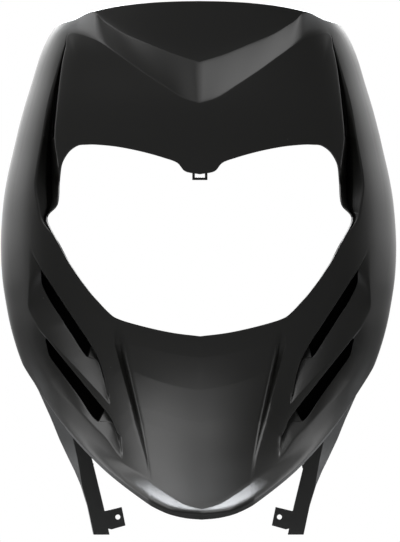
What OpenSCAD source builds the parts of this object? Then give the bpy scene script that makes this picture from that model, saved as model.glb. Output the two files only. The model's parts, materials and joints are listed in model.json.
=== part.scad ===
/* [Overall size] */
// Width across the wings
shield_w = 398; // [360:1:440]
// Height of the front skin, nose lip to top edge
shield_h = 540; // [480:1:600]
// Depth of the wings' widest line behind the nose
wing_depth = 236; // [200:1:270]
// Depth of the side walls behind the widest line
side_wall = 26; // [14:1:40]
// Wall thickness of the moulding
wall = 3; // [2:0.1:4]

/* [Front form] */
// How far the nose stands ahead of the headlight opening
nose_reach = 118; // [90:1:140]
// Roundness of the wings, higher is squarer
wing_round = 2.4; // [2:0.1:3]
// Step of the brow that runs over the face
brow_step = 18; // [8:1:26]
// Rise of the flared lip round the nose
lip_flare = 16; // [6:1:22]
// Depth of the crevice between face and wing
crevice_depth = 38; // [16:1:44]
// Depth of the two grooves down the nose
groove_depth = 4; // [1:0.5:5]

/* [Gills] */
// Depth of the black slots
slot_depth = 24; // [12:1:30]
// Depth of the sloping facets where they meet the slots
facet_depth = 9; // [4:1:12]

/* [Fixings] */
// Screw hole in each lower tab
screw_d = 5; // [4:0.1:6]
// Thickness of the lower tabs
tab_t = 3; // [2:0.1:5]
// Distance between the two lower screw holes
screw_span = 162.4; // [158:0.1:166]
// Bar thickness of the loop under the face
loop_t = 2.6; // [1.5:0.1:3.5]
// Opening of the loop under the face
loop_w = 10; // [6:0.5:14]

/* [Hidden] */
$fn = 48;
plastic = [0.13, 0.13, 0.135];
ref_w = 398;
ref_h = 540;
ref_depth = 236;
ref_reach = 118;
ref_wall = 26;
sx = shield_w / ref_w;
sz = shield_h / ref_h;

// Lines of the front view as [x, z], one point for each rib station from the top centre
// round the side to the bottom centre. The lists hold the right half.
opening_line = [[0, 366.5], [15, 369.6], [22.5, 377.8], [37, 383.2], [60, 389.5], [85, 394.3], [106, 396.2],
  [114, 396.1], [122, 395.4], [130, 390.5], [135.5, 383.5], [139, 375.5], [141, 358], [143.2, 336],
  [153.5, 323], [144, 301.5], [132, 279.5], [126, 270.3], [120, 261.5], [108.5, 246.5], [103.3, 240.7],
  [99, 236],
  [93.5, 230.2], [91, 227.9], [89.5, 226.5], [88.3, 225.4], [87, 224.4], [85.5, 223.4], [77, 219.9],
  [52, 213], [26, 207.6], [0, 204.4]];
last = len(opening_line) - 1;
// Lower brow line, then the face side of the crevice
face_line = [[0, 437.7], [17, 443], [36, 455], [60, 471], [84, 488.3], [105, 502], [130, 508],
  [134, 493.5], [138, 474], [142.6, 436], [145.2, 403], [142.2, 378.5]];
// Wing side of the crevice, from station 7
wing_from = 7;
wing_line = [[135.2, 494], [140.7, 475], [151, 438], [157, 403], [161.5, 377], [164, 355], [161, 333.5],
  [157.5, 319]];
// Upper brow line and top edge, which meet at the shoulder, then the shoulder's outer point
brow_line = [[0, 479], [24, 486.5], [50, 497], [75, 507.6], [97, 521.5], [106.3, 529.5]];
top_line = [[0, 540], [24, 539.6], [50, 538.2], [74, 535.8], [93, 532.6], [106.3, 529.5]];
shoulder = len(brow_line) - 1;
shoulder_out = [125, 521.5];
// How fast the brow rises past the shoulder
shoulder_rise = 0.55;
// Heights on the side contour, from station 7 on
contour_z = [515, 494, 450, 414, 381, 356, 331, 306, 280, 253, 238.5, 224, 199, 187.5];
// Lower edge, and the line where the lip starts to flare
lower_from = 21;
lower_line = [[177, 176], [160.5, 150], [140, 121.5], [118, 96], [96, 74.6], [76, 58.7], [53, 42.4],
  [47, 38.9], [32.5, 32.5], [16, 28.5], [0, 27]];
ridge_line = [[171, 184], [156, 155.5], [134, 131], [113, 107], [93, 89], [76, 77], [53, 62],
  [47, 57], [33, 47.5], [16.5, 38], [0, 33.5]];
// Gill lines, from station 15 to 28: each slot's two sides, the slat between the gills and
// the foot of the lower facet. At 27 and 28 they follow the groove down the nose.
gill_from = 15;
gill_to = 26;
slot1_in = [[168, 292], [158.5, 271], [150.5, 259], [142, 246], [129.5, 227], [124.5, 219.5], [119.5, 212],
  [109.5, 196.7], [101.5, 182.5], [95.5, 164], [91.6, 146], [87.5, 190], [85.5, 196], [74.2, 197]];
slot1_out = [[169.5, 291.2], [159, 270.2], [157.8, 257], [149, 238.5], [137.5, 221], [132.5, 213.5],
  [127, 205.3], [112.8, 184], [103.3, 180], [97, 161.5], [91.4, 142], [85, 165], [79, 171], [69.5, 170]];
slat_line = [[171, 290], [170, 263], [171, 246], [171, 231.5], [162, 215], [153.5, 204], [146, 195.7],
  [132.5, 181.5], [116, 164.2], [98.5, 145.8], [90.8, 137], [81.5, 125], [69, 134], [61.8, 134]];
slot2_in = [[172, 289.3], [172, 262], [172, 245], [172, 230.5], [162.6, 214], [153.6, 202.8], [144.8, 191.9],
  [129.5, 173.2], [112.5, 152.2], [96, 132], [88.3, 121.5], [79.3, 105], [65.7, 119], [58, 119]];
slot2_out = [[173.5, 288.3], [174, 261], [174, 244], [173.5, 229.5], [163.5, 213], [154.5, 200.5],
  [150.3, 185], [139.5, 169.5], [122.5, 146.3], [103, 120.2], [88, 117.5], [78, 92], [61.4, 104], [55, 104]];
facet2_end = [[175.5, 287.3], [176.5, 260], [176.5, 243], [176, 228.5], [173.5, 205], [170, 195],
  [165.5, 184.5], [151, 160], [129.5, 137.5], [108, 116.6], [93.5, 102.5], [77, 83], [56.2, 85], [51.5, 85]];
// Places of the same lines between wing and ridge where there is no gill
plain_fit = [0.12, 0.32, 0.5, 0.6, 0.7, 0.82];
above_fit = [0.3, 0.4, 0.5, 0.56, 0.62, 0.7];
// Stations where the slots, the crevice's black pocket and the grooves begin and end
slot1_ends = [16, 22];
slot2_ends = [20, 24];
pocket_ends = [9.95, 13.4];
groove_ends = [27, 28];
end_wall = 0.12;
// Depths at the stations, as shares of the named depths
crevice_share = [0, 0.06, 0.14, 0.38, 0.72, 0.95, 0.95, 0.6, 0.2, 0];
facet1_share = [0, 0.3, 0.75, 1.05, 1.1, 1.1, 1.02, 0.82, 0.9, 0.55, 0.14, 0];
facet2_share = [0, 0, 0, 0, 0.3, 0.8, 0.7, 0.85, 0.64, 0.36, 0.7, 0.1, 0];
flare_share = [0, 0.02, 0.08, 0.2, 0.4, 0.7, 1, 0.93, 0.77, 0.5, 0.36];
// Share of the lip's width where it starts to roll over, and how strongly it rolls
roll_from = 0.6;
roll_turn = 2;
// Share of a slot's depth in the fine line that runs on from its end
tail_share = 0.22;

// Side contour as [height, half width]. The depths of the wings' widest line and of the
// centre line are [height, depth].
contour = [[20, 108], [60, 124], [100, 142], [140, 160], [176, 177], [210, 188], [241.4, 194.3],
  [264, 197.4], [293, 198.7], [321.7, 197.4], [345, 194.9], [366, 191.1], [388, 186], [410, 180.9],
  [434, 174.5], [459, 166.8], [484, 159.2], [499, 152.8], [509, 147.1], [515, 142.6], [540, 124]];
wing_y = [[20, 205], [100, 216], [176, 229], [300, 236], [400, 233], [515, 225], [560, 221]];
centre_y = [[20, 14], [33.5, 21], [60, 44], [90, 70], [120, 92], [160, 112.5], [180, 119], [204, 124],
  [300, 136], [370, 146], [438, 154], [479, 161], [545, 170]];
nose_top = [204, 124];
// Return wall behind the outer edge: depth and drop as [station, size]
return_y = [[0, 9], [4, 9], [6, 14], [7, 22], [8, 25], [9, 26], [10, 26], [19, 26], [20, 26],
  [21, 24], [22, 12], [23, 5], [25, 2], [27, 1], [31, 0.2]];
return_z = [[0, 0], [22, 0], [23, 2], [25, 3.5], [27, 4.2], [31, 4.2]];

function mix(a, b, t) = a + (b - a) * t;
function unit(v) = v / max(norm(v), 0.001);
function clamp(v, lo, hi) = max(lo, min(hi, v));
function ramp(v, lo, hi) = clamp((v - lo) / (hi - lo), 0, 1);
function smooth(t) = let (c = clamp(t, 0, 1)) c * c * (3 - 2 * c);

// Tangent that leans to the shorter neighbour, so that an uneven curve does not swing out
function lean(d0, d1) = let (l0 = norm(d0) + 0.001, l1 = norm(d1) + 0.001) (d0 * l1 + d1 * l0) / (l0 + l1);
function hermite(p, q, m, n, t) =
  p * (2 * t * t * t - 3 * t * t + 1) + m * (t * t * t - 2 * t * t + t)
  + q * (3 * t * t - 2 * t * t * t) + n * (t * t * t - t * t);
function slope_at(k, i) = let (n = len(k) - 1)
  i == 0 ? k[1] - k[0] : i == n ? k[n] - k[n - 1] : lean(k[i] - k[i - 1], k[i + 1] - k[i]);
// Point of a guide line at a station
function at(k, s) =
  let (n = len(k) - 1, i = clamp(floor(s), 0, n - 1))
  hermite(k[i], k[i + 1], slope_at(k, i), slope_at(k, i + 1), s - i);
// Value of a curve given as [place, value] pairs
function curve(k, v) =
  let (n = len(k) - 1,
       i = max([for (j = [0:n - 1]) if (j == 0 || k[j][0] <= v) j]),
       w = k[i + 1][0] - k[i][0], t = clamp((v - k[i][0]) / w, 0, 1),
       g = (k[i + 1][1] - k[i][1]) / w,
       g0 = i == 0 ? g : mix(g, (k[i][1] - k[i - 1][1]) / (k[i][0] - k[i - 1][0]), 0.5),
       g1 = i == n - 1 ? g : mix(g, (k[i + 2][1] - k[i + 1][1]) / (k[i + 2][0] - k[i + 1][0]), 0.5))
  hermite(k[i][1], k[i + 1][1], g0 * w, g1 * w, t);
// Share at a station, from a list that starts at station from
function share(k, from, s) =
  let (u = s - from, n = len(k) - 1, i = clamp(floor(u), 0, n - 1))
  u <= 0 || u > n ? 0 : mix(k[i], k[i + 1], u - i);

function half_w(z) = curve(contour, z);
function rear(z) = curve(wing_y, z) - ref_depth + wing_depth;
function centre(z) =
  let (y = curve(centre_y, z))
  z < nose_top.x ? nose_top.y - (nose_top.y - y) * nose_reach / ref_reach : y;
// Share of the depth between the wings' widest line and the centre line
function crown(x, z) = let (q = clamp(x / half_w(z), 0, 1)) pow(1 - pow(q, wing_round), 1 / wing_round);
// Brow: the band between the two brow lines steps back, and dies away past the shoulder
function soft_step(t, e) = (t + sqrt(t * t + e * e)) / 2;
function brow(x, z, s) =
  let (lo = at(g_face, min(s, shoulder + 1)), hi = at(g_outer, min(s, shoulder)),
       top = hi.y + (s > shoulder ? max(0, x - hi.x) * shoulder_rise : 0),
       along = hi - lo,
       t = s < shoulder ? ([x, z] - lo) * along / (along * along) : (z - lo.y) / (top - lo.y),
       e = 0.03 + smooth((s - shoulder + 0.8) / 2) * 0.4)
  brow_step * (1 - soft_step(1 - soft_step(t, e), 0.05));
function skin_y(x, z, s) = mix(rear(z), centre(z), crown(x, z)) + brow(x, z, s);
// Inward direction at a point of the plain form, from the slope of its level surfaces
function level(x, y, z) =
  pow(max(x, 0) / half_w(z), wing_round)
  + pow(max(rear(z) - y, 0) / (rear(z) - centre(z)), wing_round);
function inward(x, z) =
  let (r = crown(x, z), q = clamp(x / half_w(z), 0, 1), y = mix(rear(z), centre(z), r),
       n = wing_round, d = rear(z) - centre(z),
       gz = clamp((level(x, y, z + 2) - level(x, y, z - 2)) / 4, -0.02, 0.02),
       g = [n * pow(q, n - 1) / half_w(z), -n * pow(r, n - 1) / d, gz])
  -unit(g);

// Guide lines with one point for each station
function outer_key(i) =
  i <= shoulder ? brow_line[i] : i == shoulder + 1 ? shoulder_out
  : i < lower_from ? [half_w(contour_z[i - wing_from]), contour_z[i - wing_from]]
  : lower_line[i - lower_from];
function wing_key(i) =
  i < wing_from ? face_line[i] : i < wing_from + len(wing_line) ? wing_line[i - wing_from] : opening_line[i];
function ridge_key(i) = i >= lower_from ? ridge_line[i - lower_from] : mix(wing_key(i), outer_key(i), 0.86);
function gill_key(k, i, n) =
  i >= gill_from && i < gill_from + len(k) ? k[i - gill_from]
  : mix(wing_key(i), ridge_key(i), i == gill_from - 1 ? above_fit[n] : plain_fit[n]);
keys = [0:last];
g_outer = [for (i = keys) outer_key(i)];
g_face = [for (i = keys) i < len(face_line) ? face_line[i] : opening_line[i]];
g_wing = [for (i = keys) wing_key(i)];
g_gill = [for (n = [0:5]) [for (i = keys)
  gill_key([slot1_in, slot1_out, slat_line, slot2_in, slot2_out, facet2_end][n], i, n)]];
g_ridge = [for (i = keys) ridge_key(i)];
// On the sides the outer line keeps to the contour exactly
function outer_at(s) = let (p = at(g_outer, s)) s < wing_from || s > lower_from ? p : [half_w(p.y), p.y];
function top_at(s) = s > shoulder ? outer_at(s) : at(top_line, s);
function gill_on(s) = smooth((s - gill_from + 0.5) * 1.5) * smooth((gill_to - s) * 0.8);
function gate(ends, s) = ramp(s, ends[0], ends[0] + end_wall) * (1 - ramp(s, ends[1], ends[1] + end_wall));
function slot_gate(ends, over, s) = max(gate(ends, s), tail_share * ramp(s, ends[1], ends[1] + end_wall)
  * (1 - ramp(s, ends[1] + end_wall, over)));

// Rows of one rib. Each entry is [x, z, extra depth], from the opening to the top edge.
// side 0 is the front skin and side 1 the back skin, whose walls stand one wall apart.
draft = 0.8;
lip_steps = [0.3, 0.6, 0.75, 0.88, 1];
function toward(p, q, d) = p + unit(q - p) * min(d, norm(q - p) * 0.45);
function walk(p, q, r, d) = let (l = norm(q - p)) d <= l ? p + unit(q - p) * d : toward(q, r, d - l);
function row(p, d) = [p.x, p.y, d];
function lip(f, s) =
  let (fall = max(0, f - roll_from))
  mix(pow(f, 1.8), f, ramp(s, 25, 27.8)) - roll_turn * fall * fall;
function span(p, q, dp, dq, n) = [for (i = [1:n]) row(mix(p, q, i / n), mix(dp, dq, i / n))];
function rib_rows(s, side) =
  let (edge = at(opening_line, s), face = at(g_face, s), wing = at(g_wing, s),
       a = at(g_gill[0], s), b = at(g_gill[1], s), c = at(g_gill[2], s),
       c2 = at(g_gill[3], s), d = at(g_gill[4], s), e = at(g_gill[5], s),
       r = at(g_ridge, s), o = outer_at(s), t = top_at(s),
       cd = crevice_depth * share(crevice_share, 6, s), w = side * wall,
       cut = cd > 0 ? w : 0, wide = norm(wing - face),
       pocket = gate(pocket_ends, s),
       bare = ramp(s, 11.3, 12),
       fd = cd * 0.35 * bare,
       h1 = slot_depth * slot_gate(slot1_ends, 25, s), f1 = facet_depth * share(facet1_share, gill_from, s),
       h2 = slot_depth * slot_gate(slot2_ends, 26, s), f2 = facet_depth * share(facet2_share, gill_from, s),
       m = gill_on(s) * w, near = m * 0.8,
       flare = -lip_flare * share(flare_share, lower_from, s),
       // crevice: edge of the face, rim of the pocket, floor and flank of the wing
       f_wall = toward(face, edge, min(cut, cd / 2)),
       f_rim = toward(face, wing, draft + wide * 0.22 * pocket),
       f_floor = toward(face, wing, draft * 1.5 + wide * 0.26 * pocket),
       x_floor = toward(face, wing, max(draft + 2, wide * 0.3 * pocket) + cut),
       x_mid = toward(mix(face, wing, mix(0.5, 0.55, pocket)), wing, cut),
       // gills
       a0 = toward(a, wing, m), a1 = side == 1 ? toward(a, wing, near) : toward(a, b, draft),
       b1 = side == 1 ? toward(b, c, near) : toward(b, a, draft), b0 = toward(b, c, m),
       c0 = walk(c2, c, b, max(m, norm(c - c2))), c3 = walk(c2, c, b, m),
       c4 = side == 1 ? walk(c2, c, b, near) : toward(c2, d, draft),
       d1 = side == 1 ? toward(d, e, near) : toward(d, c2, draft), d0 = toward(d, e, m),
       inset = s < lower_from ? 1 - ramp(s, wing_from, wing_from + 1) : ramp(s, lower_from, lower_from + 2),
       top_in = toward(t, s <= shoulder ? o : r, w * inset),
       o_in = s <= shoulder ? o : top_in)
  concat(
    [row(edge, fd)],
    span(edge, f_wall, fd, fd, 5),
    [row(f_rim, mix(cd, cd * 0.6, pocket)), row(f_floor, cd), row(x_floor, cd), row(x_mid, cd * 0.35)],
    span(x_mid, wing, cd * 0.35, 0, 2),
    span(wing, a0, 0, 0, 2),
    [row(a1, h1), row(b1, max(h1, f1)), row(b0, f1)],
    span(b0, c0, f1, 0, 2),
    [row(c3, 0), row(c4, h2), row(d1, max(h2, f2)), row(d0, f2)],
    span(d0, e, f2, 0, 2),
    span(e, r, 0, 0, 2),
    [for (f = lip_steps) row(mix(r, o_in, f), flare * lip(f, s))],
    [for (i = [1:3]) row(mix(o_in, top_in, i / 3), flare * lip(1, s))]);
// Groove down the nose. Its floor slopes in to a short wall, and it fades out at both ends.
groove_side = 0.15;
function groove(s, z) =
  groove_depth * ramp(s, groove_ends[0], groove_ends[1] - groove_side)
  * ramp(-s, -groove_ends[1], groove_side - groove_ends[1]) * smooth((214 - z) / 26) * smooth((z - 52) / 60);

function place(v, side, s) =
  let (y = skin_y(v.x, v.y, s) + v.z + groove(s, v.y), n = inward(v.x, v.y) * wall * side)
  [v.x, y, v.y] + n;
// Closed loop of points round one rib: front skin out to the edge, back skin home again
function rib(s) =
  let (f = [for (v = rib_rows(s, 0)) place(v, 0, s)],
       b = [for (v = rib_rows(s, 1)) place(v, 1, s)],
       m = len(f) - 1, e = [0, curve(return_y, s) * side_wall / ref_wall, -curve(return_z, s)])
  concat(f, [f[m] + e * 0.5, f[m] + e, b[m] + e], [for (i = [m:-1:0]) b[i]]);

stations = concat([0, 0.5, 1, 2, 3, 4, 5, 5.5, 6, 6.5, 7, 7.5, 8, 9, 9.95, 10.07, 10.5, 11, 11.3, 12, 12.5],
  [13, 13.4, 13.52, 14, 14.5, 15, 16, 16.12, 16.5, 17, 17.5, 18, 18.5, 19, 19.5, 20, 20.12, 20.5],
  [21, 21.5, 22, 22.12, 22.5, 23, 23.5, 24, 24.12, 24.5, 25, 25.5, 26, 26.5, 27, 27.5, 27.85, 28, 29, 30, 31]);
half_ribs = [for (s = stations) rib(s)];
ribs = concat(half_ribs,
  [for (i = [len(half_ribs) - 2:-1:1]) [for (p = half_ribs[i]) [-p.x, p.y, p.z]]]);

// Skin that joins the ribs into one closed ring round the headlight opening. Each cell is
// split along its shorter diagonal, in the same way on both halves.
module ring_skin() {
  cols = len(ribs);
  rows = len(ribs[0]);
  fine = 1000;
  tie = 0.01;
  pts = [for (c = [0:cols - 1]) each [for (p = ribs[c])
    [round(p.x * sx * fine), round(p.y * fine), round(p.z * sz * fine)] / fine]];
  function at_grid(c, r) = (c % cols) * rows + r % rows;
  tris = [for (c = [0:cols - 1], r = [0:rows - 1])
    let (i = at_grid(c, r), j = at_grid(c + 1, r), k = at_grid(c + 1, r + 1), l = at_grid(c, r + 1),
         more = norm(pts[i] - pts[k]) - norm(pts[j] - pts[l]),
         straight = c < len(half_ribs) - 1 ? more <= tie : more < -tie)
    each straight ? [[i, k, j], [i, l, k]] : [[i, l, j], [l, k, j]]];
  faces = [for (t = tris)
    if (pts[t[0]] != pts[t[1]] && pts[t[1]] != pts[t[2]] && pts[t[2]] != pts[t[0]]) t];
  polyhedron(points = pts, faces = faces, convexity = 12);
}

// Arm that carries on from the side wall down to the lower fixing, as rows of
// [height, outer side, corner of the outer facet, inner side]
arm_rows = [[198, 183.2, 177, 168], [176, 176.2, 166, 150], [150, 161.5, 147, 134], [121, 148.5, 130.5, 119],
  [100, 140, 126, 112.5], [82, 131.5, 122, 107.5], [68, 124.5, 119.5, 104], [54, 118.5, 117.5, 100.6],
  [33, 112, 111.5, 95.5], [4.5, 106, 105.5, 89.5]];
arm_y = 233 + wing_depth - ref_depth;
arm_deep = side_wall - 6;
module arm() {
  n = len(arm_rows);
  y0 = arm_y;
  y1 = y0 + arm_deep;
  function ring(r) = let (z = r[0], o = r[1], f = r[2], i = r[3])
    [[o, y1, z], [f, y0, z], [i, y0, z],
     [i, y0 + wall, z], [f - wall * 0.7, y0 + wall, z], [o - wall, y1, z]];
  pts = [for (r = arm_rows) each [for (p = ring(r)) [p.x * sx, p.y, p.z * sz]]];
  m = 6;
  sides = [for (k = [0:n - 2], i = [0:m - 1]) let (a = k * m + i, b = k * m + (i + 1) % m)
    each [[a, b + m, b], [a, a + m, b + m]]];
  function cap(k, flip) = let (c = [[0, 1, 4], [0, 4, 5], [1, 2, 3], [1, 3, 4]])
    [for (t = c) flip ? t + [k, k, k] : [t[2] + k, t[1] + k, t[0] + k]];
  polyhedron(points = pts, faces = concat(sides, cap(0, true), cap((n - 1) * m, false)), convexity = 4);
}

// Flat lug at the foot of an arm, with its screw hole
lug_line = [[95.5, 29], [93.6, 28.5], [77.3, 32.5], [73.5, 13.8], [87.5, 9.8], [92.5, 11]];
hole_x = 81.2;
hole_z = 22.3;
module lug() {
  shift = screw_span / 2 - hole_x * sx;
  difference() {
    translate([0, arm_y + tab_t, 0]) rotate([90, 0, 0]) linear_extrude(tab_t)
      polygon([for (i = [0:len(lug_line) - 1]) let (p = lug_line[i])
        [p.x * sx + (p.x < 92 ? shift : 0), p.y * sz]]);
    translate([screw_span / 2, arm_y + tab_t + 1, hole_z * sz]) rotate([90, 0, 0])
      cylinder(d = screw_d, h = tab_t + 2);
  }
}

// Small catch on the inner side of each arm; the left one has lost its tip
catch_whole = [[108.5, 79], [103.6, 74], [104.6, 70.5], [108, 68]];
catch_broken = [[109.5, 80], [106.4, 78.8], [107.2, 77], [105, 75.6], [106.6, 74.2],
  [104.8, 72.4], [108, 68]];
module catch_lug(line) {
  translate([0, arm_y + wall, 0]) rotate([90, 0, 0]) linear_extrude(wall - 0.4)
    polygon([for (p = line) [p.x * sx, p.y * sz]]);
}

// Loop that hangs from the point of the face, over the headlight
loop_z = 360.4 * sz;
loop_h = 8.6 * sz;
module face_loop() {
  y = skin_y(0, opening_line[0].y, 0) + 0.3;
  outer_w = loop_w + 2 * loop_t;
  translate([0, y + loop_t, 0]) rotate([90, 0, 0]) linear_extrude(loop_t) difference() {
    translate([-outer_w / 2, loop_z]) square([outer_w, loop_h]);
    translate([-loop_w / 2, loop_z + loop_t]) square([loop_w, loop_h]);
  }
}

foot_z = 4.5 * sz;
y_all = [for (r = ribs, p = r) p.y];
y_middle = (min(y_all) + max(y_all)) / 2;
module leg_shield() {
  color(plastic) translate([0, -y_middle, -foot_z]) {
    ring_skin();
    for (side = [0, 1]) mirror([side, 0, 0]) {
      arm();
      lug();
    }
    catch_lug(catch_whole);
    mirror([1, 0, 0]) catch_lug(catch_broken);
    face_loop();
  }
}

leg_shield();
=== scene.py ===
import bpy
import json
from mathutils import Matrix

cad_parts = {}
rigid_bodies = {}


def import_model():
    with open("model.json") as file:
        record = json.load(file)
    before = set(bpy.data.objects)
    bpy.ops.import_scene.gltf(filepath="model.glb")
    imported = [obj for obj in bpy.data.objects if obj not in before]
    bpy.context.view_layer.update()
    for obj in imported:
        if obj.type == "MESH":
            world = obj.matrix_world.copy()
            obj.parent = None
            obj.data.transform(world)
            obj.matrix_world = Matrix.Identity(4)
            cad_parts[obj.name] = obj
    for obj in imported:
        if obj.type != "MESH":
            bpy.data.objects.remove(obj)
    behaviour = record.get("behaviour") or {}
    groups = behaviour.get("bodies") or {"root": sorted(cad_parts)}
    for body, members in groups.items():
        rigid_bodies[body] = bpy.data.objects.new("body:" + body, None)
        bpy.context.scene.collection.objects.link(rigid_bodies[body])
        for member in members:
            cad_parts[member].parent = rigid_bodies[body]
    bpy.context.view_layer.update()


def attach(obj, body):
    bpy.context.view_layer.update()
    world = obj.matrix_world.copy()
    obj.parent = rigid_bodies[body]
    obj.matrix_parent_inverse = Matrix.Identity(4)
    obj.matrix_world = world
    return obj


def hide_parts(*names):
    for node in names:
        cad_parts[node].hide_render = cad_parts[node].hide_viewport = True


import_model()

import bisect
import json
import math

import bmesh
import bpy
from mathutils import Vector

# Skin
# The real panel is one thin black moulding that wraps from the steering head round to the sides of
# the scooter. Its edges are cut crisply at the headlight and roll over softly everywhere else.
MM = 0.001
wall = 3


def mix(a, b, t):
    return a + (b - a) * t


def clamp(v, lo=0.0, hi=1.0):
    return max(lo, min(hi, v))


def hermite(p, q, m, n, t):
    """Point at t of the smooth curve from p to q that leaves along m and arrives along n."""
    return (p * (2 * t**3 - 3 * t**2 + 1) + m * (t**3 - 2 * t**2 + t)
            + q * (3 * t**2 - 2 * t**3) + n * (t**3 - t**2))


def curve(keys, v):
    """Value at v of the smooth curve through [place, value] pairs."""
    n = len(keys) - 1
    i = max(0, min(n - 1, bisect.bisect_right(keys, [v, math.inf]) - 1))
    slopes = []
    for j in (i - 1, i, i + 1):
        j = max(0, min(n - 1, j))
        slopes.append((keys[j + 1][1] - keys[j][1]) / (keys[j + 1][0] - keys[j][0]))
    width = keys[i + 1][0] - keys[i][0]
    t = clamp((v - keys[i][0]) / width)
    return hermite(keys[i][1], keys[i + 1][1], mix(slopes[1], slopes[0], 0.5) * width,
                   mix(slopes[1], slopes[2], 0.5) * width, t)


# Half width of the front view over the height, and the depths of the widest line and the centre line.
contour = [[20, 108], [60, 124], [100, 142], [140, 160], [176, 177], [210, 188], [241.4, 194.3],
           [264, 197.4], [293, 198.7], [321.7, 197.4], [345, 194.9], [366, 191.1], [388, 186],
           [410, 180.9], [434, 174.5], [459, 166.8], [484, 159.2], [499, 152.8], [509, 147.1],
           [515, 142.6], [540, 124]]
wing_y = [[20, 205], [100, 216], [176, 229], [300, 236], [400, 233], [515, 225], [560, 221]]
centre_y = [[20, 14], [33.5, 21], [60, 44], [90, 70], [120, 92], [160, 112.5], [180, 119], [204, 124],
            [300, 136], [370, 146], [438, 154], [479, 161], [545, 170]]
roundness = 2.4


def crown(x, z):
    """How far the front bulges at x: 1 on the centre line, 0 on the widest line."""
    return (1 - clamp(x / curve(contour, z)) ** roundness) ** (1 / roundness)


def front_y(x, z):
    """Depth of the plain front, before any step or slot is cut into it."""
    return mix(curve(wing_y, z), curve(centre_y, z), crown(x, z))


def level(x, y, z):
    """1 on the plain front, more outside it."""
    rear = curve(wing_y, z)
    return ((max(x, 0) / curve(contour, z)) ** roundness
            + (max(rear - y, 0) / (rear - curve(centre_y, z))) ** roundness)


reach, steepest = 2, 0.02


def inward(x, z):
    """Direction into the wall at a point of the front."""
    half, rear = curve(contour, z), curve(wing_y, z)
    depth, r, q = rear - curve(centre_y, z), crown(x, z), clamp(x / curve(contour, z))
    y = rear - depth * r
    rise = clamp((level(x, y, z + reach) - level(x, y, z - reach)) / (2 * reach), -steepest, steepest)
    return -Vector((roundness * q ** (roundness - 1) / half,
                    -roundness * r ** (roundness - 1) / depth, rise)).normalized()


def vectors(points):
    return [Vector(p) for p in points]


shortest = 0.001


def along(line, s):
    """Point of a guide line at station s, without swinging out where the points are uneven."""
    n = len(line) - 1
    i = max(0, min(n - 1, int(math.floor(s))))

    def lean(j):
        if j == 0 or j == n:
            return line[1] - line[0] if j == 0 else line[n] - line[n - 1]
        before, after = line[j] - line[j - 1], line[j + 1] - line[j]
        b, a = before.length + shortest, after.length + shortest
        return (before * a + after * b) / (b + a)

    return hermite(line[i], line[i + 1], lean(i), lean(i + 1), s - i)


# Lines of the front, one point for each station from the top centre round the right side.
opening_line = vectors([
    [0, 366.5], [15, 369.6], [22.5, 377.8], [37, 383.2], [60, 389.5], [85, 394.3], [106, 396.2],
    [114, 396.1], [122, 395.4], [130, 390.5], [135.5, 383.5], [139, 375.5], [141, 358], [143.2, 336],
    [153.5, 323], [144, 301.5], [132, 279.5], [126, 270.3], [120, 261.5], [108.5, 246.5],
    [103.3, 240.7], [99, 236], [93.5, 230.2], [91, 227.9], [89.5, 226.5], [88.3, 225.4], [87, 224.4],
    [85.5, 223.4], [77, 219.9], [52, 213], [26, 207.6], [0, 204.4]])
last = len(opening_line) - 1
face_line = vectors([
    [0, 437.7], [17, 443], [36, 455], [60, 471], [84, 488.3], [105, 502], [130, 508], [134, 493.5],
    [138, 474], [142.6, 436], [145.2, 403], [142.2, 378.5]]) + opening_line[12:]
wing_line = face_line[:7] + vectors([
    [135.2, 494], [140.7, 475], [151, 438], [157, 403], [161.5, 377], [164, 355], [161, 333.5],
    [157.5, 319]]) + opening_line[15:]
shoulder = 5
top_line = vectors([[0, 540], [24, 539.6], [50, 538.2], [74, 535.8], [93, 532.6], [106.3, 529.5]])
side_z = [515, 494, 450, 414, 381, 356, 331, 306, 280, 253, 238.5, 224, 199, 187.5]
lower_from = 21
outer_line = vectors([
    [0, 479], [24, 486.5], [50, 497], [75, 507.6], [97, 521.5], [106.3, 529.5], [125, 521.5]]
) + vectors([[curve(contour, z), z] for z in side_z]) + vectors([
    [177, 176], [160.5, 150], [140, 121.5], [118, 96], [96, 74.6], [76, 58.7], [53, 42.4], [47, 38.9],
    [32.5, 32.5], [16, 28.5], [0, 27]])
ridge_share = 0.86
ridge_line = [mix(wing_line[i], outer_line[i], ridge_share) for i in range(lower_from)] + vectors([
    [171, 184], [156, 155.5], [134, 131], [113, 107], [93, 89], [76, 77], [53, 62], [47, 57],
    [33, 47.5], [16.5, 38], [0, 33.5]])

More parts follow.
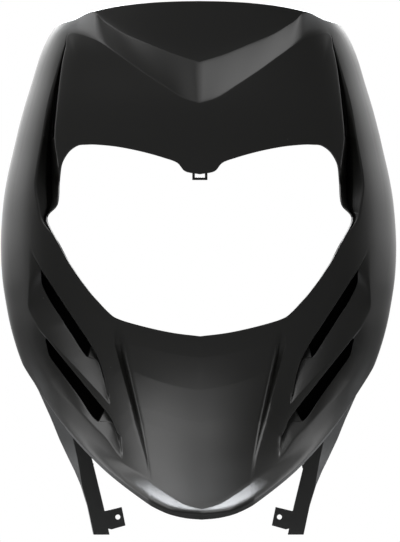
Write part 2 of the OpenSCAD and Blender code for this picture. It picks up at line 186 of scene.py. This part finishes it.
# Gill lines from station 15 to 28. Elsewhere each keeps a plain share of the way from wing to ridge,
# and another share just above the gills.
gill_from, gill_to = 15, 26
gills = []
for plain, higher, points in (
    (0.12, 0.3, [[168, 292], [158.5, 271], [150.5, 259], [142, 246], [129.5, 227], [124.5, 219.5],
                 [119.5, 212], [109.5, 196.7], [101.5, 182.5], [95.5, 164], [91.6, 146], [87.5, 190],
                 [85.5, 196], [74.2, 197]]),
    (0.32, 0.4, [[169.5, 291.2], [159, 270.2], [157.8, 257], [149, 238.5], [137.5, 221],
                 [132.5, 213.5], [127, 205.3], [112.8, 184], [103.3, 180], [97, 161.5], [91.4, 142],
                 [85, 165], [79, 171], [69.5, 170]]),
    (0.5, 0.5, [[171, 290], [170, 263], [171, 246], [171, 231.5], [162, 215], [153.5, 204],
                [146, 195.7], [132.5, 181.5], [116, 164.2], [98.5, 145.8], [90.8, 137], [81.5, 125],
                [69, 134], [61.8, 134]]),
    (0.6, 0.56, [[172, 289.3], [172, 262], [172, 245], [172, 230.5], [162.6, 214], [153.6, 202.8],
                 [144.8, 191.9], [129.5, 173.2], [112.5, 152.2], [96, 132], [88.3, 121.5], [79.3, 105],
                 [65.7, 119], [58, 119]]),
    (0.7, 0.62, [[173.5, 288.3], [174, 261], [174, 244], [173.5, 229.5], [163.5, 213], [154.5, 200.5],
                 [150.3, 185], [139.5, 169.5], [122.5, 146.3], [103, 120.2], [88, 117.5], [78, 92],
                 [61.4, 104], [55, 104]]),
    (0.82, 0.7, [[175.5, 287.3], [176.5, 260], [176.5, 243], [176, 228.5], [173.5, 205], [170, 195],
                 [165.5, 184.5], [151, 160], [129.5, 137.5], [108, 116.6], [93.5, 102.5], [77, 83],
                 [56.2, 85], [51.5, 85]]),
):
    line = [mix(wing_line[i], ridge_line[i], higher if i == gill_from - 1 else plain)
            for i in range(last + 1)]
    line[gill_from:gill_from + len(points)] = vectors(points)
    gills.append(line)


def ramp(v, lo, hi):
    return clamp((v - lo) / (hi - lo))


def smooth(t):
    t = clamp(t)
    return t * t * (3 - 2 * t)


def share(keys, start, s):
    """Value at station s of a list with one value a station, which begins at start."""
    u = s - start
    if u <= 0 or u > len(keys) - 1:
        return 0
    i = min(int(u), len(keys) - 2)
    return mix(keys[i], keys[i + 1], u - i)


end_wall = 0.12


def gate(start, end, s):
    """1 between two stations and 0 outside, with a steep wall at each end."""
    return smooth((s - start) / end_wall) * (1 - smooth((s - end) / end_wall))


# A facet has a point of its foot line, the way it deepens, and its first and last station.
upper_facet = (Vector((132.5, 181.5)), Vector((-0.741, 0.672)), 15, 25)
lower_facet = (Vector((129.5, 137.5)), Vector((-0.771, 0.637)), 18.5, 25.84)
facet_slope, facet_ease, facet_wall = 0.46, 4.5, 0.16
facet_limit, facet_edge_limit = 12, 10.5


def facet(p, foot, way, start, end, s):
    """Depth of a flat facet at p: it slopes from its foot line and ends at a small wall."""
    return (facet_slope * max(0, (p - foot).dot(way)) * smooth((s - start) / facet_ease)
            * (1 - smooth((s - end) / facet_wall)))


tiny = 1e-6


def toward(p, q, d):
    """The point d from p to q, at most nearly half way."""
    gap = (q - p).length
    return p + (q - p) * (min(d, gap * 0.45) / gap) if gap > tiny else p.copy()


def walk(p, q, r, d):
    """The point d from p on the way to q and on to r."""
    gap = (q - p).length
    return p + (q - p) * (d / gap) if d <= gap and gap > tiny else toward(q, r, d - gap)


def outer_at(s):
    p = along(outer_line, s)
    return p if s < 7 or s > lower_from else Vector((curve(contour, p.y), p.y))


brow_step, shoulder_rise = 14.5, 0.55
brow_foot_soft, brow_side_soft, brow_top_soft = 0.03, 0.43, 0.05


def brow(x, z, s):
    """How far the brow has stepped back: all the way above it, not at all below."""
    lo, hi = along(face_line, min(s, shoulder + 1)), along(outer_line, min(s, shoulder))
    if s < shoulder:
        span = hi - lo
        t = (Vector((x, z)) - lo).dot(span) / span.length_squared
    else:
        t = (z - lo.y) / (hi.y + max(0, x - hi.x) * shoulder_rise - lo.y)
    soft = mix(brow_foot_soft, brow_side_soft, smooth((s - shoulder + 0.8) / 2))
    up = (t + math.hypot(t, soft)) / 2
    return brow_step * (1 - (1 - up + math.hypot(1 - up, brow_top_soft)) / 2)


groove_at, groove_deep = 27.5, 5
groove_top, groove_foot = 216, 50


def groove(s, z):
    """Depth of the V groove down the nose, which fades out at both ends."""
    across = clamp(1 - 2 * abs(s - groove_at))
    return groove_deep * across * smooth((groove_top - z) / 40) * smooth((z - groove_foot) / 100)


flare_out = 16
flare_share = [0, 0.02, 0.08, 0.2, 0.4, 0.7, 1, 0.93, 0.77, 0.5, 0.29]
cheek_bend, cheek_last, lip_full, tip_from = 1.8, 25, 27.8, 29.2


def lip(f, s):
    """Share of the flare across the lip: it turns out from the ridge, then rolls over."""
    tip = ramp(s, tip_from, last)
    roll, roll_from = mix(2, 1.2, tip), mix(0.6, 0.15, tip)
    return mix(f**cheek_bend, f, ramp(s, cheek_last, lip_full)) - roll * max(0, f - roll_from) ** 2


crevice_from, crevice_deep = 6, 38
crevice_share = [0, 0.06, 0.14, 0.38, 0.72, 0.95, 0.95, 0.6, 0.2, 0]
edge_share = 0.35
pocket_from, pocket_to = 9.95, 13.4
slot_deep = 24
slot1_from, slot1_to, slot2_from, slot2_to = 16, 22, 20, 24
draft = 0.8
lip_steps = 12


def rib_corners(s, back):
    """Corners of one rib from the opening out to the edge: place, extra depth, roundness, steps."""
    edge, face, wing = along(opening_line, s), along(face_line, s), along(wing_line, s)
    in1, out1, end1, in2, out2, end2 = (along(line, s) for line in gills)
    ridge, outer = along(ridge_line, s), outer_at(s)
    top = outer if s > shoulder else along(top_line, s)
    w = wall if back else 0
    crevice = crevice_deep * share(crevice_share, crevice_from, s)
    cut, wide = (w if crevice > 0 else 0), (wing - face).length
    pocket = gate(pocket_from, pocket_to, s)
    bare = crevice * edge_share * ramp(s, 11.3, 12)
    f1 = min(facet_edge_limit, facet(out1, *upper_facet, s))
    f2 = min(facet_edge_limit, facet(out2, *lower_facet, s))
    slot1 = [mix(min(facet_limit, facet(p, *upper_facet, s)), slot_deep, gate(slot1_from, slot1_to, s))
             if s > slot1_from else f1 for p in (in1, out1)]
    slot2 = [mix(min(facet_limit, facet(p, *lower_facet, s)), slot_deep, gate(slot2_from, slot2_to, s))
             if s > slot2_from else f2 for p in (in2, out2)]
    m = w * smooth((s - gill_from + 0.5) * 1.5) * smooth((gill_to - s) * 0.8)
    near = m * 0.8
    flare = -flare_out * share(flare_share, lower_from, s)
    inset = w * (1 - ramp(s, 7, 8) if s < lower_from else ramp(s, 21, 23))
    top_in = toward(top, outer if s <= shoulder else ridge, inset)
    outer_in = outer if s <= shoulder else top_in
    rows = [
        (edge, bare, 0, 0),
        (toward(face, edge, min(cut, crevice / 2)), bare, 1.2, 12),
        (toward(face, wing, draft + wide * 0.22 * pocket), mix(crevice, crevice * 0.6, pocket), 0.8, 2),
        (toward(face, wing, draft * 1.5 + wide * 0.26 * pocket), crevice, 0.6, 1),
        (toward(face, wing, max(draft + 2, wide * 0.3 * pocket) + cut), crevice, 0.8, 2),
        (toward(mix(face, wing, mix(0.5, 0.55, pocket)), wing, cut), crevice * edge_share, 1.5, 2),
        (wing, 0, 1.6, 3),
        (toward(in1, wing, m), 0, 0.9, 7),
        (toward(in1, wing, near) if back else toward(in1, out1, draft), slot1[0], 0.5, 2),
        (toward(out1, end1, near) if back else toward(out1, in1, draft), slot1[1], 0.5, 2),
        (toward(out1, end1, m), f1, 0.8, 2),
        (walk(in2, end1, out1, max(m, (end1 - in2).length)), 0, 1.0, 6),
        (walk(in2, end1, out1, m), 0, 0.8, 2),
        (walk(in2, end1, out1, near) if back else toward(in2, out2, draft), slot2[0], 0.5, 2),
        (toward(out2, end2, near) if back else toward(out2, in2, draft), slot2[1], 0.5, 2),
        (toward(out2, end2, m), f2, 0.8, 2),
        (end2, 0, 1.4, 5),
        (ridge, 0, 0, 6),
    ]
    steps = lip_steps // 2 if back else lip_steps
    for i in range(1, steps + 1):
        rows.append((mix(ridge, outer_in, i / steps), flare * lip(i / steps, s), 0, 1))
    rows.append((top_in, flare * lip(1, s), 0, 4 if back else 8))
    return rows


# Points on the floors of the slots, whatever their side, which the material paints as shade.
painted_shade_points = set()
painted_shade_from, painted_shade_below = 14, 300


def spot(p):
    return tuple(round(abs(v), 3) for v in p)


def rib_points(s, back):
    """Points of one skin of a rib, its corners rounded and its long stretches divided."""
    corners = [(Vector((p.x, p.y, d)), r, n) for p, d, r, n in rib_corners(s, back)]
    line = [corners[0][0]]
    for i, (p, r, n) in enumerate(corners[1:], 1):
        arc = [p]
        if r and not back:
            before, after = toward(p, corners[i - 1][0], r), toward(p, corners[i + 1][0], r)
            arc = [before, before * 0.25 + p * 0.5 + after * 0.25, after]
        n = math.ceil(n * 0.4) if back else n
        start = line[-1]
        line += [mix(start, arc[0], j / n) for j in range(1, n)] + arc
    points = []
    for x, z, d in line:
        y = front_y(x, z) + brow(x, z, s) + groove(s, z) + d
        points.append(Vector((x, y, z)) + inward(x, z) * (wall if back else 0))
        if d > painted_shade_from and z < painted_shade_below and not back:
            painted_shade_points.add(spot(points[-1]))
    return points


# Reach of the return wall behind the edge over the stations, and how far it falls on the way.
return_deep = [[0, 9], [4, 9], [6, 14], [7, 22], [8, 25], [9, 26], [10, 26], [19, 26], [20, 26],
               [21, 24], [22, 12], [23, 5], [25, 2], [27, 1], [31, 0.2]]
return_drop = [[0, 0], [22, 0], [23, 2], [25, 3.5], [27, 4.2], [31, 4.2]]
deepest = 262.33


def rib_loop(s):
    """One closed section of the moulding: front skin, return wall, and back skin home again."""
    front, back = rib_points(s, False), rib_points(s, True)
    reach_back = min(curve(return_deep, s), deepest - front[-1].y)
    end = Vector((0, reach_back, -curve(return_drop, s)))
    return front + [front[-1] + end * t for t in (0.12, 0.35, 0.6, 0.8, 1)] + [back[-1] + end] + back[::-1]


# Ribs stand every fifth of a station, and closer where a wall or a groove runs across them.
per_station = 5
stations = {round(i / per_station, 3) for i in range(last * per_station + 1)}
stations |= {round(groove_at + step, 3) for step in (-0.4, -0.2, 0, 0.2, 0.4)}
for start, size in ((pocket_from, end_wall), (pocket_to, end_wall), (slot1_from, end_wall),
                    (slot2_from, end_wall), (slot1_to, end_wall), (slot2_to, end_wall),
                    (upper_facet[3], facet_wall), (lower_facet[3], facet_wall), (shoulder - 0.1, 0.2)):
    stations |= {round(start + size * i / 4, 3) for i in range(5)}
half = [rib_loop(s) for s in sorted(stations)]
ribs = half + [[Vector((-p.x, p.y, p.z)) for p in loop] for loop in half[-2:0:-1]]

# The lists count from the middle and the foot of the photograph, and from a plane before the nose.
# The frame's origin lies here in them.
middle_y, foot_z = 137.8668, 4.5
places, index, grid = [], {}, []
for loop in ribs:
    row = []
    for p in loop:
        key = (round(p.x, 3), round(p.y, 3), round(p.z, 3))
        if key not in index:
            index[key] = len(places)
            places.append((key[0] * MM, (key[1] - middle_y) * MM, (key[2] - foot_z) * MM))
        row.append(index[key])
    grid.append(row)

# Each cell of the grid is cut along its shorter diagonal, the same way on both halves.
even = 1e-5
faces = []
for c, row in enumerate(grid):
    after = grid[(c + 1) % len(grid)]
    for r in range(len(row)):
        following = (r + 1) % len(row)
        i, j, k, l = row[r], after[r], after[following], row[following]
        longer = math.dist(places[i], places[k]) - math.dist(places[j], places[l])
        straight = longer <= even if c < len(half) - 1 else longer < -even
        for corners in (((i, j, k), (i, k, l)) if straight else ((i, j, l), (l, j, k))):
            if len(set(corners)) == 3:
                faces.append(corners)


def solid(name, points, polygons, bevel=0.0):
    """A closed mesh object from points in metres; its edges are rounded by bevel."""
    mesh = bpy.data.meshes.new(name)
    mesh.from_pydata(points, [], polygons)
    sheet = bmesh.new()
    sheet.from_mesh(mesh)
    bmesh.ops.recalc_face_normals(sheet, faces=sheet.faces)
    sheet.to_mesh(mesh)
    sheet.free()
    made = bpy.data.objects.new(name, mesh)
    bpy.context.scene.collection.objects.link(made)
    if bevel:
        rounding = made.modifiers.new("rounded edges", "BEVEL")
        rounding.width, rounding.segments, rounding.limit_method = bevel, 2, "ANGLE"
        rounding.angle_limit = math.radians(35)
    return made


shield = solid("shield", places, faces)

# Arms
# Each side wall carries on below the cheek as an arm of angle section: a flat bar that faces forward
# with a sloping outer facet, which narrows down to the lower fixing. They are moulded with the skin.
arm_y, arm_deep, arm_round = 233, 20, 0.0005
# Height, outer edge, fold and inner edge.
arm_rows = [[198, 183.2, 177, 168], [176, 176.2, 166, 150], [150, 161.5, 147, 134],
            [121, 148.5, 130.5, 119], [100, 140, 126, 112.5], [82, 131.5, 122, 107.5],
            [68, 124.5, 119.5, 104], [54, 118.5, 117.5, 100.6], [33, 112, 111.5, 95.5],
            [4.5, 106, 105.5, 89.5]]


def in_frame(side, x, y, z):
    return (side * x * MM, (y - middle_y) * MM, (z - foot_z) * MM)


extras = []
for side, hand in ((1, "right"), (-1, "left")):
    points, polygons = [], []
    for z, outer, fold, inner in arm_rows:
        y0, y1 = arm_y, arm_y + arm_deep
        for x, y in ((outer, y1), (fold, y0), (inner, y0), (inner, y0 + wall),
                     (fold - wall * 0.7, y0 + wall), (outer - wall, y1)):
            points.append(in_frame(side, x, y, z))
    foot = (len(arm_rows) - 1) * 6
    for k in range(0, foot, 6):
        for i in range(6):
            a, b = k + i, k + (i + 1) % 6
            polygons.append((b, b + 6, a + 6, a))
    for k in (0, foot):
        polygons += [(k, k + 1, k + 4, k + 5), (k + 1, k + 2, k + 3, k + 4)]
    extras.append(solid("arm_" + hand, points, polygons, arm_round))

# Lower lugs
# A flat lug stands out inwards from the foot of each arm, with one round screw hole. The panel is
# screwed to the scooter's frame here.
plate_round, hole_sides, drill_past = 0.0003, 40, 2


def plate(name, side, outline, y0, y1, hole=None):
    """A flat plate of an [x, z] outline between two depths, with one round hole or none."""
    n = len(outline)
    points = [in_frame(side, x, y, z) for y in (y0, y1) for x, z in outline]
    polygons = [(i, (i + 1) % n, (i + 1) % n + n, i + n) for i in range(n)]
    made = solid(name, points, polygons + [range(n), range(n, 2 * n)], plate_round)
    if hole:
        x, z, r = hole
        turns = [i * math.tau / hole_sides for i in range(hole_sides)]
        drill = plate(name + "_drill", side, [(x + r * math.cos(t), z + r * math.sin(t)) for t in turns],
                      y0 - drill_past, y1 + drill_past)
        drill.modifiers.clear()
        drill.hide_render = drill.hide_viewport = True
        cutter = made.modifiers.new("screw hole", "BOOLEAN")
        cutter.operation, cutter.object, cutter.solver = "DIFFERENCE", drill, "EXACT"
    return made


lug_outline = [[95.5, 29], [93.6, 28.5], [77.3, 32.5], [73.5, 13.8], [87.5, 9.8], [92.5, 11]]
screw_hole = (81.2, 22.3, 2.5)
for side, hand in ((1, "right"), (-1, "left")):
    extras.append(plate("lug_" + hand, side, lug_outline, arm_y, arm_y + wall, screw_hole))

# Catches
# A small catch stands on the inner side of each arm, half way down. The one on the left has broken
# off short and left a ragged stub.
catch_y = (arm_y + 0.4, arm_y + wall)
whole = [[108.5, 79], [103.6, 74], [104.6, 70.5], [108, 68]]
stub = [[109.5, 80], [106.4, 78.8], [107.2, 77], [105, 75.6], [106.6, 74.2], [104.8, 72.4], [108, 68]]
extras.append(plate("catch_right", 1, whole, *catch_y))
extras.append(plate("catch_left", -1, stub, *catch_y))

# Loop
# A small square loop hangs from the point of the face into the headlight opening. The top of the
# headlight hooks into it.
loop_top, loop_set_in, loop_deep = 366.5, 0.3, 2.6
loop_y = front_y(0, loop_top) + loop_set_in
for name, x0, x1, z0, z1 in (("loop_bar", -7.6, 7.6, 360.4, 363), ("loop_left", -7.6, -5, 360.8, 369),
                             ("loop_right", 5, 7.6, 360.8, 369)):
    extras.append(plate(name, 1, [[x0, z0], [x1, z0], [x1, z1], [x0, z1]], loop_y, loop_y + loop_deep))

# The arms, lugs, catches and loop are moulded in one with the skin, so all become one closed mesh.
graph = bpy.context.evaluated_depsgraph_get()
for extra in extras:
    joined = bpy.data.meshes.new_from_object(extra.evaluated_get(graph))
    extra.modifiers.clear()
    extra.data = joined
    union = shield.modifiers.new("joined " + extra.name, "BOOLEAN")
    union.operation, union.object, union.solver = "UNION", extra, "MANIFOLD"
bpy.context.view_layer.update()
graph = bpy.context.evaluated_depsgraph_get()
moulding = bpy.data.meshes.new_from_object(shield.evaluated_get(graph))
shield.modifiers.clear()
shield.data = moulding
for spare in list(bpy.data.objects):
    if spare.name.endswith("_drill") or spare in extras:
        bpy.data.objects.remove(spare)
crease = math.radians(48)
for polygon in moulding.polygons:
    polygon.use_smooth = True
moulding.set_sharp_from_angle(angle=crease)
# The slot floor points are marked so that the material can paint them as shade.
painted_shade_marks = moulding.attributes.new("deep", "FLOAT", "POINT")
for v, mark in zip(moulding.vertices, painted_shade_marks.data):
    mark.value = spot((v.co.x / MM, v.co.y / MM + middle_y, v.co.z / MM + foot_z)) in painted_shade_points
even_shading = shield.modifiers.new("even shading", "WEIGHTED_NORMAL")
even_shading.keep_sharp = True

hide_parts("leg_shield")
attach(shield, "root")

# Black plastic
# The real surface is unpainted black plastic with a fine even grain and a soft sheen. A little pale
# dust has settled on it. The slots' floors get painted shade: a matt near-black for the deep shade inside
# them.


class Value:
    """A socket of a shader node that takes plain arithmetic and adds the Math nodes for it."""

    def __init__(self, socket):
        self.socket = socket

    def out(self, name):
        """Another output of the same node."""
        return Value(self.socket.node.outputs[name])

    def math(self, operation, a, b):
        return node(self.socket.id_data, "Math", {0: a, 1: b}, operation=operation)

    def __add__(self, other):
        return self.math("ADD", self, other)

    def __sub__(self, other):
        return self.math("SUBTRACT", self, other)

    def __rsub__(self, other):
        return self.math("SUBTRACT", other, self)

    def __mul__(self, other):
        return self.math("MULTIPLY", self, other)

    def __gt__(self, other):
        return self.math("GREATER_THAN", self, other)

    def __lt__(self, other):
        return self.math("LESS_THAN", self, other)

    __radd__, __rmul__ = __add__, __mul__


def node(tree, kind, sockets=None, **settings):
    """Adds a shader node, makes its settings, then fills its sockets with values or links."""
    made = tree.nodes.new("ShaderNode" + kind)
    for name, choice in settings.items():
        setattr(made, name, choice)
    for name, v in (sockets or {}).items():
        if isinstance(v, Value):
            tree.links.new(v.socket, made.inputs[name])
        else:
            made.inputs[name].default_value = v
    return Value(made.outputs[0]) if made.outputs else None


plastic = bpy.data.materials.new("black plastic")
plastic.use_nodes = True
tree = plastic.node_tree
tree.nodes.clear()
# The third colour is painted shade for the slot floors, darker than the plastic.
black, dusty, painted_slot_shade = (0.0064, 0.0064, 0.0056, 1), (0.42, 0.42, 0.4, 1), (0.004, 0.004, 0.0038, 1)
speck_size, speck_from, speck_cover = 0.028, 0.9, 0.35
sheen, sheen_mottle = 0.32, 0.08

place = node(tree, "TexCoord").out("Object")
mottle = node(tree, "TexNoise", {"Vector": place, "Scale": 9.0, "Detail": 4.0})
grain = node(tree, "TexNoise", {"Vector": place, "Scale": 1500.0, "Detail": 2.0})
specks = node(tree, "TexVoronoi", {"Vector": place, "Scale": 90.0})
pick = node(tree, "SeparateColor", {"Color": specks.out("Color")})
dust = (specks.out("Distance") < speck_size) * (pick > speck_from)
colour = node(tree, "Mix", {0: dust * speck_cover, 6: black, 7: dusty}, data_type="RGBA").out(2)
bump = node(tree, "Bump", {"Strength": 0.16, "Distance": 0.00012, "Height": grain})
surface = node(tree, "BsdfPrincipled",
               {"Base Color": colour, "Roughness": mottle * sheen_mottle + sheen, "Normal": bump})
# The slot floors are painted as shade: a matt near-black diffuse shader is mixed in where points are
# marked deep.
painted_shade_bsdf = node(tree, "BsdfDiffuse", {"Color": painted_slot_shade})
painted_shade_mask = node(tree, "Attribute", attribute_name="deep").out("Fac")
both = node(tree, "MixShader", {0: painted_shade_mask, 1: surface, 2: painted_shade_bsdf})
node(tree, "OutputMaterial", {"Surface": both})
moulding.materials.clear()
moulding.materials.append(plastic)

# Floor
# A plain pale floor a little below the panel, kept short behind it so that the front view is as
# clean as the photograph.
floor_half, floor_front, floor_back, floor_z = 0.7, -0.9, 0.5, -0.02
floor = solid("floor", [(-floor_half, floor_front, floor_z), (floor_half, floor_front, floor_z),
                        (floor_half, floor_back, floor_z), (-floor_half, floor_back, floor_z)],
              [(0, 1, 2, 3)])
pale = bpy.data.materials.new("pale floor")
pale.use_nodes = True
paint = pale.node_tree.nodes["Principled BSDF"]
paint.inputs["Base Color"].default_value = (0.3, 0.3, 0.3, 1)
paint.inputs["Roughness"].default_value = 0.9
floor.data.materials.append(pale)

# Light
# A white studio, seen as plain white: bright behind and beside the panel above the floor, dim below
# and where the camera stands. Soft lamps hang overhead, in front and close behind the panel.
world = bpy.data.worlds.new("studio")
bpy.context.scene.world = world
world.use_nodes = True
tree = world.node_tree
tree.nodes.clear()


def blend(value, start, end, low, high):
    """Eases from low to high while the value goes from start to end."""
    return node(value.socket.id_data, "MapRange",
                {"Value": value, "From Min": start, "From Max": end, "To Min": low, "To Max": high},
                interpolation_type="SMOOTHSTEP")


way = node(tree, "SeparateXYZ", {"Vector": node(tree, "TexCoord").out("Generated")})
to_right, to_rear, to_top = way.out("X"), way.out("Y"), way.out("Z")
behind = blend(to_rear, -0.3, 0.13, 0.1, 3.8)
horizon = blend(to_top, -0.1, 0.04, 0.02, 0.42)
above = blend(to_top, 0.12, 0.27, 0.0, 0.6)
ceiling = blend(to_top, 0.35, 0.75, 1.0, 0.25)
right_side = blend(to_right, -0.3, 0.4, 1.0, 0.9)
camera_side = blend(to_rear, -0.8, -0.4, 0.2, 0.03)
strength = behind * (horizon + above) * ceiling * right_side + camera_side
seen = node(tree, "LightPath").out("Is Camera Ray")
room = node(tree, "Background", {"Color": (1, 1, 1, 1), "Strength": strength + seen * (1 - strength)})
node(tree, "OutputWorld", {"Surface": room})


def area(name, place, target, size, power, tint=(1, 1, 1)):
    lamp = bpy.data.lights.new(name, "AREA")
    lamp.shape, lamp.size, lamp.size_y, lamp.energy, lamp.color = "RECTANGLE", *size, power, tint
    made = bpy.data.objects.new(name, lamp)
    made.location = place
    made.rotation_euler = (Vector(target) - Vector(place)).to_track_quat("-Z", "Y").to_euler()
    bpy.context.scene.collection.objects.link(made)
    return made


panel_middle, nose = (0, 0, 0.3), (0, -0.1, 0.05)
cool = (0.93, 0.96, 1.0)
area("overhead", (-1.3, -0.95, 4.1), panel_middle, (3.8, 2.2), 84)
area("front top", (-1.0, -2.9, 3.7), panel_middle, (3.2, 1.2), 18)
area("high behind", (-0.03, 0.48, 0.93), nose, (0.7, 0.3), 34, cool)

# Camera
# The photograph looks straight at the panel from far off, a little from its left and from half its
# height, so that its edges hardly converge.
camera = bpy.data.cameras.new("camera")
camera.lens = 1101
camera.clip_end = 100
eye = bpy.data.objects.new("camera", camera)
yaw, far, height = math.radians(0.8), 16.56, 0.265
eye.location = (-far * math.sin(yaw), -far * math.cos(yaw), height)
eye.rotation_euler = (math.pi / 2, 0, -yaw)
bpy.context.scene.collection.objects.link(eye)
bpy.context.scene.camera = eye
bpy.context.scene.view_settings.view_transform = "Standard"
